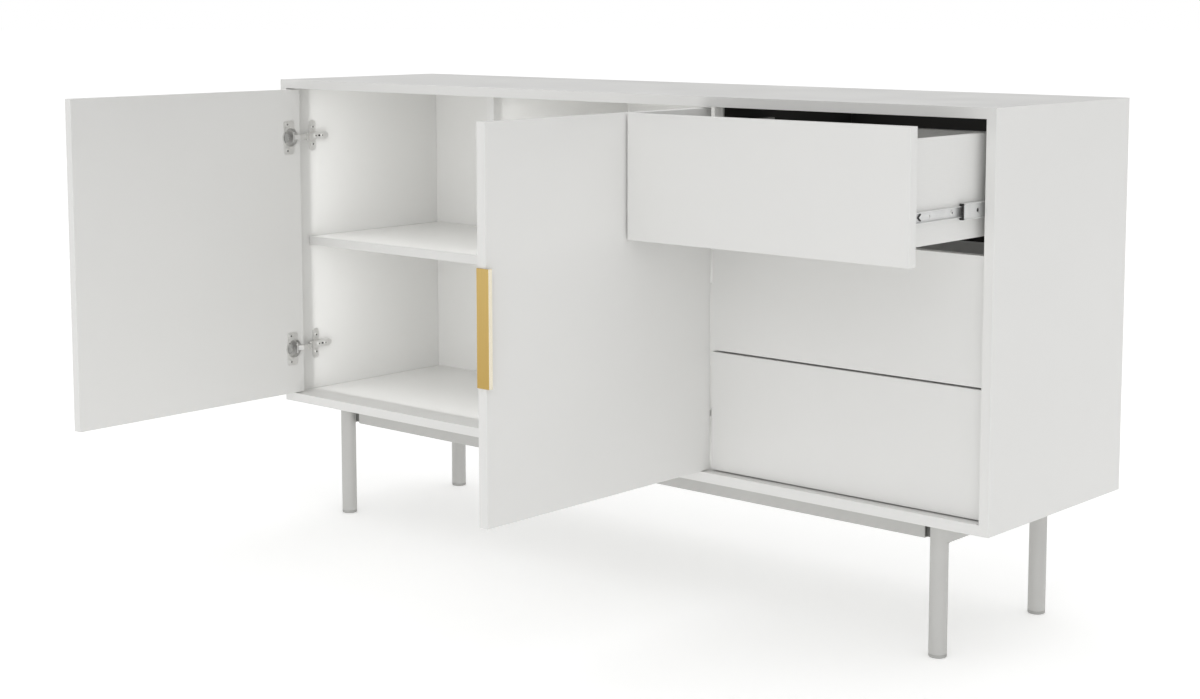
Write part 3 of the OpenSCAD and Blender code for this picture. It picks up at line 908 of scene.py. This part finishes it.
class SIDEBOARD_OT_screws(bpy.types.Operator):
    """Gives the screws of the hinges and the slides their heads and recesses, and the base's screws
    a nickel finish
    """

    bl_idname = "sideboard.screws"
    bl_label = "Screws"

    def execute(self, context):
        pan, small = pan_screw(8.0, 1.75), pan_screw(7.0, 1.3)
        self.plate_screws(pan)
        for door in DOORS:
            self.cup_screws(pan, door)
        cases = bmesh.new()
        start = span("slide_cases")[0].y
        for wall, sign in WALLS.values():
            for drawer in DRAWERS:
                for y in CASE_SCREWS_Y:
                    place = (wall + sign * SLIDE_STEEL, start + y, SLIDE_Z[drawer])
                    self.on_wall(cases, small, place, sign, y + SLIDE_Z[drawer])
        self.finish_set("slide_case_screw_set", cases, "cabinet", "slide_case_screws")
        for drawer in DRAWERS:
            runner = bmesh.new()
            start = span(f"{drawer}_drawer_runners")[0].y
            for wall, sign in WALLS.values():
                for y in RUNNER_SCREWS_Y:
                    u = SLIDE_SPACE - SLIDE_STEEL
                    place = (wall + sign * u, start + y, SLIDE_Z[drawer])
                    self.on_wall(runner, small, place, -sign, 2 * y + SLIDE_Z[drawer])
            self.finish_set(f"{drawer}_runner_screw_set", runner, f"{drawer}_drawer")
        pan.free()
        small.free()
        NODES["base_screws"].data.materials[0] = finish("nickel")
        return {"FINISHED"}

    def plate_screws(self, head):
        """The screws that hold the hinge plates to the side and the partition."""
        whole = bmesh.new()
        for wall, sign in ((LEFT_SIDE[1].x, 1), (RIGHT_PARTITION[0].x, -1)):
            for z in HINGE_Z:
                for step in (-PLATE_SCREW_Z, PLATE_SCREW_Z):
                    place = (wall + sign * PLATE_T, FRONT[0].y + WING_B + WING_W / 2, z + step)
                    self.on_wall(whole, head, place, sign, 20 + 37 * step + z)
                    end = Vector(place) - Vector((sign * SHANK_LONG, 0, 0))
                    add(whole, rod_shape(place, end, SHANK_R, 24))
        self.finish_set("hinge_plate_screw_set", whole, "cabinet", "hinge_plate_screws")

    def cup_screws(self, head, door):
        """The screws that hold the hinge cups to a door."""
        whole = bmesh.new()
        for z in HINGE_Z:
            for step in (-CUP_SCREW_Z, CUP_SCREW_Z):
                local = Matrix.Translation((CUP_SCREW_A, BOARD + FLANGE_T, z + step))
                face = Matrix.Rotation(math.radians(-90), 4, "X")
                face = face @ Matrix.Rotation(math.radians(step + z), 4, "Z")
                add(whole, head, on_door(door) @ local @ face, keep=True)
                shank = rod_shape((0, 0, 0), (0, 0, -SHANK_LONG), SHANK_R, 24)
                add(whole, shank, on_door(door) @ local @ face)
        self.finish_set(f"{door}_cup_screw_set", whole, f"{door}_door", f"{door}_cup_screws")

    def on_wall(self, whole, head, place, sign, turn):
        """Adds a head that faces along X, its recess turned by some degrees."""
        spin = Matrix.Rotation(math.radians(turn), 4, "Z")
        add(whole, head, Matrix.Translation(place) @ on_x_axis(sign) @ spin, keep=True)

    def finish_set(self, name, whole, body, *replaced):
        """Makes a piece of a set of screws."""
        make_piece(name, whole, ["nickel", "recess"], body, "hardware_steel", replaced)


# ---------------------------------------------------------------- hinges


def at_pivot(door):
    """Puts a shape in a door's own plan at its pivot, closed."""
    place = Vector(JOINTS[f"{door}_door_hinge"]["pos_m"]) / MM
    side = 1 if door == "left" else -1
    return Matrix.Translation((place.x, place.y, 0)) @ Matrix.Diagonal((side, 1, 1, 1))


def on_door(door):
    """Puts a shape in a door's own plan at its pivot, open as at rest."""
    return at_pivot(door) @ Matrix.Rotation(math.radians(-90), 4, "Z")


def wall_a(door):
    """Distance along a closed door from its pivot to the board behind its hinge edge."""
    pivot = JOINTS[f"{door}_door_hinge"]["pos_m"][0] / MM
    return LEFT_SIDE[1].x - pivot if door == "left" else pivot - RIGHT_PARTITION[0].x


class SIDEBOARD_OT_hinge_cups(bpy.types.Operator):
    """Presses the hinge cups with their flanges, dampers and pins"""

    bl_idname = "sideboard.hinge_cups"
    bl_label = "Hinge Cups"

    def cup(self):
        """One cup with its flange, screw rings, knuckles, cross pin and damper."""
        deep, wall = CUP_DEEP, CUP_WALL
        pocket = CUP_R - wall
        shell = turned_shape(
            [
                (0, -deep), (CUP_R - 0.8, -deep), (CUP_R, -deep + 0.8), (CUP_R, 0),
                (CUP_R + 1.4, 0), (CUP_R + 1.4, FLANGE_T), (CUP_R + 1.0, FLANGE_T + 0.25),
                (pocket + 0.4, FLANGE_T + 0.25), (pocket, FLANGE_T - 0.1),
                (pocket, -deep + wall + 1.5), (pocket - 0.6, -deep + wall + 0.4),
                (pocket - 2, -deep + wall), (0, -deep + wall),
            ],
            64,
        )
        whole = bmesh.new()
        face = Matrix.Translation((CUP_A, BOARD, 0)) @ Matrix.Rotation(math.radians(-90), 4, "X")
        add(whole, shell, face)
        flange = plate_shape(
            (FLANGE_A, BOARD, -FLANGE_H / 2),
            (FLANGE_A + FLANGE_W, BOARD + FLANGE_T, FLANGE_H / 2),
            1, 4.5, 0.3,
        )
        bore = rod_shape((CUP_A, BOARD - 3, 0), (CUP_A, BOARD + 5, 0), CUP_R - 0.4, 64)
        add(whole, cut_shape(flange, bore))
        profile = [(0, 0), (5.4, 0), (5.2, 0.35), (4.3, 0.4), (4.1, 0.1), (0, 0.1)]
        for side in (-1, 1):
            ring = turned_shape(profile, 32)
            place = Matrix.Translation((CUP_SCREW_A, BOARD + FLANGE_T, side * CUP_SCREW_Z))
            add(whole, ring, place @ Matrix.Rotation(math.radians(-90), 4, "X"))
            low, high = sorted((side * 5.6, side * 7.0))
            knuckle = plate_shape((9.6, BOARD - 5, low), (16.4, BOARD - 0.1, high), 2, 2.0, 0.2)
            add(whole, knuckle)
        ends = [(*CUP_PIN, z) for z in (-CUP_PIN_HALF, CUP_PIN_HALF)]
        add(whole, rod_shape(*ends, CUP_PIN_R, 24))
        damper = ((CUP_A + 3, BOARD - 9.5, -9), (CUP_A + 12.5, BOARD - 2.2, 9))
        add(whole, plate_shape(*damper, 1, 2.6, 0.4), slot=1)
        button = rod_shape((CUP_A + 3.4, BOARD - 6, 0), (CUP_A - 1.5, BOARD - 6, 0), 2.6, 32)
        add(whole, button, slot=1)
        return whole

    def execute(self, context):
        cup = self.cup()
        for door in DOORS:
            whole = bmesh.new()
            for z in HINGE_Z:
                add(whole, cup, on_door(door) @ Matrix.Translation((0, 0, z)), keep=True)
            make_piece(
                f"{door}_hinge_cup_set",
                whole,
                ["nickel", "clear_grey"],
                f"{door}_door",
                "hardware_steel",
                (f"{door}_hinge_cups",),
            )
        cup.free()
        return {"FINISHED"}


class SIDEBOARD_OT_hinge_arms(bpy.types.Operator):
    """Builds the hinges' plates, arms, adjusting screws and links"""

    bl_idname = "sideboard.hinge_arms"
    bl_label = "Hinge Plates and Arms"

    def plate(self, a):
        """Cross-shaped plate with rounded wings and a raised block."""
        whole = bmesh.new()
        wing = ((a, WING_B, -WING_H / 2), (a + PLATE_T, WING_B + WING_W, WING_H / 2))
        add(whole, plate_shape(*wing, 0, 5.5, 0.35))
        block = ((a + 0.02, PLATE_B[0], -5.5), (a + PLATE_BLOCK, PLATE_B[1], 5.5))
        add(whole, plate_shape(*block, 0, 1.4, 0.4))
        profile = [(0, 0), (6.2, 0), (6.0, 0.4), (4.9, 0.45), (4.6, 0.1), (0, 0.1)]
        for side in (-1, 1):
            ring = turned_shape(profile, 32)
            place = Matrix.Translation((a + PLATE_T, WING_B + WING_W / 2, side * PLATE_SCREW_Z))
            add(whole, ring, place @ on_x_axis())
        return whole

    def fittings(self, a):
        """The arm's two adjusting screws, its slot and the rivets of its pivot."""
        whole = bmesh.new()
        top = a + PLATE_BLOCK + ARM_T
        for b, size in ARM_SCREWS:
            place = Matrix.Translation((top, b, 0)) @ on_x_axis()
            add(whole, pan_screw(size, 1.1), place @ Matrix.Rotation(b, 4, "Z"))
            washer = turned_shape([(0, 0), (size * 0.68, 0), (size * 0.66, 0.3), (0, 0.3)], 32)
            add(whole, washer, place)
        # Painted shade: the slot is a thin black plate on the arm's face, which stands for the
        # shade down the slot.
        slot = ((top - 0.4, BOARD + 33.5, -1.6), (top + 0.12, BOARD + 38.5, 1.6))
        add(whole, plate_shape(*slot, 0, 1.5, 0.05), slot=1)
        tail = ((top - 3.5, ARM_END - 0.5, -4.2), (top - 0.4, ARM_END + 5.5, 4.2))
        add(whole, plate_shape(*tail, 0, 2.4, 0.4))
        for side in (-1, 1):
            rivet = turned_shape([(0, 0), (2.3, 0), (2.1, 0.35), (1.2, 0.6), (0, 0.65)], 24)
            flip = Matrix.Rotation(math.radians(0 if side > 0 else 180), 4, "X")
            add(whole, rivet, Matrix.Translation((*LINK_PIN, side * ARM_W / 2)) @ flip)
        return whole

    def execute(self, context):
        plates, fittings = bmesh.new(), bmesh.new()
        for door in DOORS:
            a = wall_a(door)
            for z in HINGE_Z:
                place = at_pivot(door) @ Matrix.Translation((0, 0, z))
                add(plates, self.plate(a), place)
                add(fittings, self.fittings(a), place)
        steel = ("cabinet", "hardware_steel")
        make_piece("hinge_plate_set", plates, ["nickel"], *steel, ("hinge_plates",))
        make_piece("hinge_arm_fittings", fittings, ["nickel", "black"], *steel)
        refined_piece(
            "hinge_arms", "hinge_arm_set", "nickel", *steel, 0.00045, longest_kept=HINGE_FOLD
        )
        for door in DOORS:
            links = f"{door}_hinge_links"
            refined_piece(
                links,
                f"{door}_hinge_link_set",
                "nickel",
                links,
                "hardware_steel",
                0.0003,
                longest_kept=HINGE_FOLD,
            )
        return {"FINISHED"}


# ---------------------------------------------------------------- slides


class SIDEBOARD_OT_slides(bpy.types.Operator):
    """Builds the drawer slides: cases, middle rails with balls and stops, and runners"""

    bl_idname = "sideboard.slides"
    bl_label = "Drawer Slides"

    def execute(self, context):
        self.member("slide_cases", "slide_case_set", "cabinet", DRAWERS, *CASE_HOLES)
        for drawer in DRAWERS:
            body, rails = f"{drawer}_drawer", f"{drawer}_midrails"
            node, name = f"{body}_midrails", f"{drawer}_midrail_set"
            self.member(node, name, rails, [drawer], *MIDRAIL_HOLES)
            node, name = f"{body}_runners", f"{drawer}_runner_set"
            self.member(node, name, body, [drawer], *RUNNER_HOLES)
            self.middle_rails(drawer)
            self.catches(drawer)
        return {"FINISHED"}

    def member(self, node, name, body, drawers, holes, bore, drill):
        """A slide's member with softened folds and holes through its web."""
        shape = refined_shape(node, 0.00045)
        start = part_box(node)[0].y / MM
        drills = bmesh.new()
        for wall, sign in WALLS.values():
            for drawer in drawers:
                for y in holes:
                    p, q = (
                        Vector((wall + sign * u, start + y, SLIDE_Z[drawer])) * MM for u in drill
                    )
                    add(drills, rod_shape(p, q, bore / 2 * MM, 24))
        shape = cut_shape(shape, drills)
        make_piece(name, shape, ["zinc"], body, "slide_steel", (node,), scale=1)

    def on_side(self, wall, sign, drawer):
        """Puts a shape in a slide's own plan on one side of a drawer."""
        place = Matrix.Translation((wall, 0, SLIDE_Z[drawer]))
        return place @ Matrix.Diagonal((sign, 1, 1, 1))

    def middle_rails(self, drawer):
        """The middle rails' ball cages and balls, and their black keepers and plugs."""
        cages, keepers = bmesh.new(), bmesh.new()
        start = span(f"{drawer}_drawer_midrails")[0].y
        ball = ball_shape((0, 0, 0), BALL_R)
        for wall, sign in WALLS.values():
            place = self.on_side(wall, sign, drawer)
            for side in (-1, 1):
                low, high = sorted(side * w for w in CAGE_W)
                cage = [(u, start + y, w) for u, y, w in zip(CAGE_U, CAGE_Y, (low, high))]
                add(cages, plate_shape(*cage, 2, 1.2, 0.08), place)
                for y in BALLS_Y:
                    spot = Matrix.Translation((BALL_U, start + y, side * BALL_W))
                    add(cages, ball, place @ spot, keep=True)
                low, high = sorted(side * w for w in KEEPER_W)
                keeper = ((KEEPER_U[0], start - 3.4, low), (KEEPER_U[1], start + 0.6, high))
                add(keepers, plate_shape(*keeper, 0, 0.8, 0.25), place)
            bridge = ((KEEPER_U[0], start - 2.6, -8.3), (6.9, start - 0.4, 8.3))
            add(keepers, plate_shape(*bridge, 0, 0.5, 0.2), place)
            for y in PLUGS_Y:
                add(keepers, rod_shape((6.5, start + y, 0), (7.0, start + y, 0), PLUG_R, 32), place)
        ball.free()
        body = f"{drawer}_midrails"
        make_piece(f"{drawer}_ball_cages", cages, ["nickel"], body, "slide_steel")
        make_piece(f"{drawer}_slide_stops", keepers, ["black"], body, "foot_plastic")

    def catches(self, drawer):
        """The crossed blades of the catch near the front of each runner, in the near-black recess
        metal as painted shade for the catch's shaded notch.
        """
        whole = bmesh.new()
        y = span(f"{drawer}_drawer_runners")[0].y + CATCH_Y
        for wall, sign in WALLS.values():
            for turn in (-CATCH_LEAN, CATCH_LEAN):
                blade = plate_shape((9.6, 0, -0.8), (11.35, 7.6, 0.8), 0, 0.6, 0.15)
                lean = Matrix.Translation((0, y, 0)) @ Matrix.Rotation(math.radians(turn), 4, "X")
                add(whole, blade, self.on_side(wall, sign, drawer) @ lean)
        make_piece(f"{drawer}_runner_catches", whole, ["recess"], f"{drawer}_drawer", "slide_steel")


# ---------------------------------------------------------------- base


class SIDEBOARD_OT_base(bpy.types.Operator):
    """Builds the legs, feet, rails, joiners and weld beads of the base"""

    bl_idname = "sideboard.base"
    bl_label = "Base"

    def execute(self, context):
        lo, hi = LEG
        radius, centre = (hi.x - lo.x) / 2, (lo + hi) / 2
        inner = radius - 2
        tube = turned_shape(
            [
                (0, hi.z - 2), (inner, hi.z - 2), (inner, lo.z), (radius - 0.35, lo.z),
                (radius, lo.z + 0.35), (radius, hi.z - 0.3), (radius - 0.3, hi.z), (0, hi.z),
            ],
            96,
        )
        rim, stem = lo.z, inner - 0.1
        foot = turned_shape(
            [
                (0, 14), (2, 14), (2, 0.4), (2.4, 0), (radius - 1.5, 0), (radius - 0.44, 0.44),
                (radius, 1.5), (radius, rim - 0.5), (radius - 0.3, rim - 0.15),
                (stem, rim - 0.15), (stem, 22), (0, 22),
            ],
            96,
        )
        feet = bmesh.new()
        for side, x in (("left", -centre.x), ("right", centre.x)):
            for end, y in (("front", -centre.y), ("back", centre.y)):
                place = Matrix.Translation((x, y, 0))
                leg = bmesh.new()
                add(leg, tube, place, keep=True)
                node = f"{end}_{side}_leg"
                make_piece(f"{node}_tube", leg, ["paint"], "cabinet", "base_paint", (node,))
                add(feet, foot, place, keep=True)
        tube.free()
        foot.free()
        make_piece("leg_foot_set", feet, ["foot"], "cabinet", "foot_plastic", ("leg_feet",))
        for node in ("left_side_rail", "right_side_rail", "front_rail", "back_rail"):
            painted = ("paint", "cabinet", "base_paint")
            refined_piece(node, f"{node}_tube", *painted, 0.0009, segments=3)
        # Painted shade: the joiners take the dark grey, which stands for the shade where the rails
        # meet the legs.
        joiners = ("dark", "cabinet", "dark_paint")
        refined_piece("rail_joiners", "rail_joiner_set", *joiners, 0.0005, longest_kept=0.01)
        self.welds(radius, centre)
        return {"FINISHED"}

    def welds(self, radius, centre):
        """Weld beads where the legs meet the side rails."""
        whole = bmesh.new()
        lo, hi = SIDE_RAIL
        reach = centre.x - lo.x
        seam = math.sqrt(radius**2 - reach**2)
        start = math.atan2(-seam, -reach)
        for mirror_x in (-1, 1):
            for mirror_y in (-1, 1):
                place = Matrix.Diagonal((mirror_x, mirror_y, 1, 1))
                for i in range(BEADS_UP):
                    point = (lo.x - 0.1, centre.y - seam, lo.z + 1 + BEAD_STEP * i)
                    add(whole, ball_shape(point, BEAD_R, (1, 1, 0.62)), place)
                for i in range(BEADS_UNDER):
                    angle = start - start * i / (BEADS_UNDER - 1)
                    x = centre.x + radius * math.cos(angle)
                    y = centre.y + radius * math.sin(angle)
                    add(whole, ball_shape((x, y, lo.z - 0.1), BEAD_R, (1, 1, 0.7)), place)
        make_piece("leg_weld_beads", whole, ["paint"], "cabinet", "base_paint", smooth_below=60)


# ---------------------------------------------------------------- studio


class SIDEBOARD_OT_studio(bpy.types.Operator):
    """Sets up the floor, the lights and the camera"""

    bl_idname = "sideboard.studio"
    bl_label = "Studio"

    def execute(self, context):
        scene = context.scene
        studio = scene.sideboard_studio
        scene.view_settings.view_transform = "Standard"
        floor = bmesh.new()
        bmesh.ops.create_circle(floor, cap_ends=True, segments=96, radius=FLOOR_RADIUS)
        mesh = bpy.data.meshes.new("studio_floor")
        floor.to_mesh(mesh)
        floor.free()
        ground = bpy.data.objects.new("studio_floor", mesh)
        scene.collection.objects.link(ground)
        mesh.materials.append(self.floor_finish(studio))
        self.sky(scene, studio)
        self.fill(scene, studio)
        front = span("left_shelf")[0].y + 3
        for name, left, right in (
            ("left_inside_light", LEFT_SIDE[1].x, LEFT_PARTITION[0].x),
            ("middle_inside_light", LEFT_PARTITION[1].x, RIGHT_PARTITION[0].x),
        ):
            place = Vector(((left + right) / 2, front, (BAY_TOP + BAY_FLOOR) / 2)) * MM
            size = ((right - left - 16) * MM, (BAY_TOP - BAY_FLOOR - 16) * MM)
            self.soft_box(name, place, size, studio.inside_power, turn=(math.pi / 2, 0, 0))
        bay = Vector(((WALLS["left"][0] + WALLS["right"][0]) / 2, 60, BAY_TOP - 1)) * MM
        self.soft_box("bay_light", bay, BAY_LAMP, studio.bay_power)
        self.camera(scene, studio)
        return {"FINISHED"}

    def camera(self, scene, studio):
        """The camera that the settings describe."""
        data = bpy.data.cameras.new("studio_camera")
        data.sensor_width = 36
        data.lens = studio.camera_lens
        data.shift_x, data.shift_y = studio.camera_shift
        data.clip_start, data.clip_end = 0.05, 200
        camera = bpy.data.objects.new("studio_camera", data)
        camera.location = studio.camera_place
        camera.rotation_euler = (math.pi / 2 - studio.camera_tilt, 0, studio.camera_turn)
        scene.collection.objects.link(camera)
        scene.camera = camera

    def floor_finish(self, studio):
        """Matt near-white floor that glows slightly."""
        finish = Finish("studio_floor")
        color = studio.floor_color[:]
        cloud = finish.noise((0.6, 0.6, 0.6), 2)
        amount = finish.ramp(cloud, 0.3, 0.7, 0, 1)
        finish.set("Base Color", finish.mix(amount, tint(color, 0.995), color))
        for socket, value in (
            ("Roughness", 0.7),
            ("Specular IOR Level", 0.1),
            ("Emission Color", (1, 1, 1, 1)),
            ("Emission Strength", studio.floor_glow),
        ):
            finish.shader.inputs[socket].default_value = value
        return finish.material

    def sky(self, scene, studio):
        """White light that grows from the horizon up; the camera sees a plain white backdrop."""
        world = bpy.data.worlds.new("studio_sky")
        scene.world = world
        world.use_nodes = True
        tree = world.node_tree
        place = tree.nodes.new("ShaderNodeTexCoord")
        axes = tree.nodes.new("ShaderNodeSeparateXYZ")
        height = tree.nodes.new("ShaderNodeMapRange")
        height.inputs["To Min"].default_value = 0.04
        height.inputs["To Max"].default_value = studio.sky
        soft = tree.nodes["Background"]
        soft.inputs["Color"].default_value = (1, 1, 1, 1)
        backdrop = tree.nodes.new("ShaderNodeBackground")
        backdrop.inputs["Color"].default_value = (1, 1, 1, 1)
        rays = tree.nodes.new("ShaderNodeLightPath")
        choice = tree.nodes.new("ShaderNodeMixShader")
        tree.links.new(place.outputs["Generated"], axes.inputs[0])
        tree.links.new(axes.outputs["Z"], height.inputs["Value"])
        tree.links.new(height.outputs["Result"], soft.inputs["Strength"])
        tree.links.new(rays.outputs["Is Camera Ray"], choice.inputs[0])
        tree.links.new(soft.outputs[0], choice.inputs[1])
        tree.links.new(backdrop.outputs[0], choice.inputs[2])
        tree.links.new(choice.outputs[0], tree.nodes["World Output"].inputs["Surface"])

    def fill(self, scene, studio):
        """A broad soft light from beside the camera."""
        data = bpy.data.lights.new("fill_light", "SUN")
        data.energy = studio.fill
        data.angle = math.radians(50)
        lamp = bpy.data.objects.new("fill_light", data)
        lamp.rotation_euler = (math.radians(76), 0, studio.camera_turn - math.radians(8))
        scene.collection.objects.link(lamp)

    def soft_box(self, name, place, size, power, turn=(0, 0, 0)):
        """A rectangular soft light; it shines down, or straight back when turned."""
        data = bpy.data.lights.new(name, "AREA")
        data.shape = "RECTANGLE"
        data.size, data.size_y = size
        data.energy = power
        lamp = bpy.data.objects.new(name, data)
        lamp.location = place
        lamp.rotation_euler = turn
        lamp.visible_camera = False
        bpy.context.scene.collection.objects.link(lamp)


# ---------------------------------------------------------------- panel and registration


OPERATORS = (
    SIDEBOARD_OT_studio,
    SIDEBOARD_OT_cabinet_boards,
    SIDEBOARD_OT_back_nails,
    SIDEBOARD_OT_door_boards,
    SIDEBOARD_OT_handle,
    SIDEBOARD_OT_drawers,
    SIDEBOARD_OT_hinge_cups,
    SIDEBOARD_OT_hinge_arms,
    SIDEBOARD_OT_slides,
    SIDEBOARD_OT_screws,
    SIDEBOARD_OT_base,
)


class SIDEBOARD_PT_panel(bpy.types.Panel):
    """Lists the sideboard's pieces and settings"""

    bl_label = "Sideboard"
    bl_idname = "SIDEBOARD_PT_panel"
    bl_space_type = "VIEW_3D"
    bl_region_type = "UI"
    bl_category = "Sideboard"

    def draw(self, context):
        layout = self.layout
        for operator in OPERATORS:
            layout.operator(operator.bl_idname)
        for group in GROUPS:
            settings = getattr(context.scene, group)
            box = layout.box()
            for name in settings.__annotations__:
                box.prop(settings, name)


CLASSES = (BoardSettings, MetalSettings, StudioSettings, *OPERATORS, SIDEBOARD_PT_panel)
GROUPS = {
    "sideboard_boards": BoardSettings,
    "sideboard_metal": MetalSettings,
    "sideboard_studio": StudioSettings,
}


def register():
    for item in CLASSES:
        bpy.utils.register_class(item)
    for name, group in GROUPS.items():
        setattr(bpy.types.Scene, name, bpy.props.PointerProperty(type=group))


def unregister():
    for name in GROUPS:
        delattr(bpy.types.Scene, name)
    for item in reversed(CLASSES):
        bpy.utils.unregister_class(item)


def main():
    register()
    for operator in OPERATORS:
        group, name = operator.bl_idname.split(".")
        getattr(getattr(bpy.ops, group), name)()


if __name__ == "__main__":
    main()
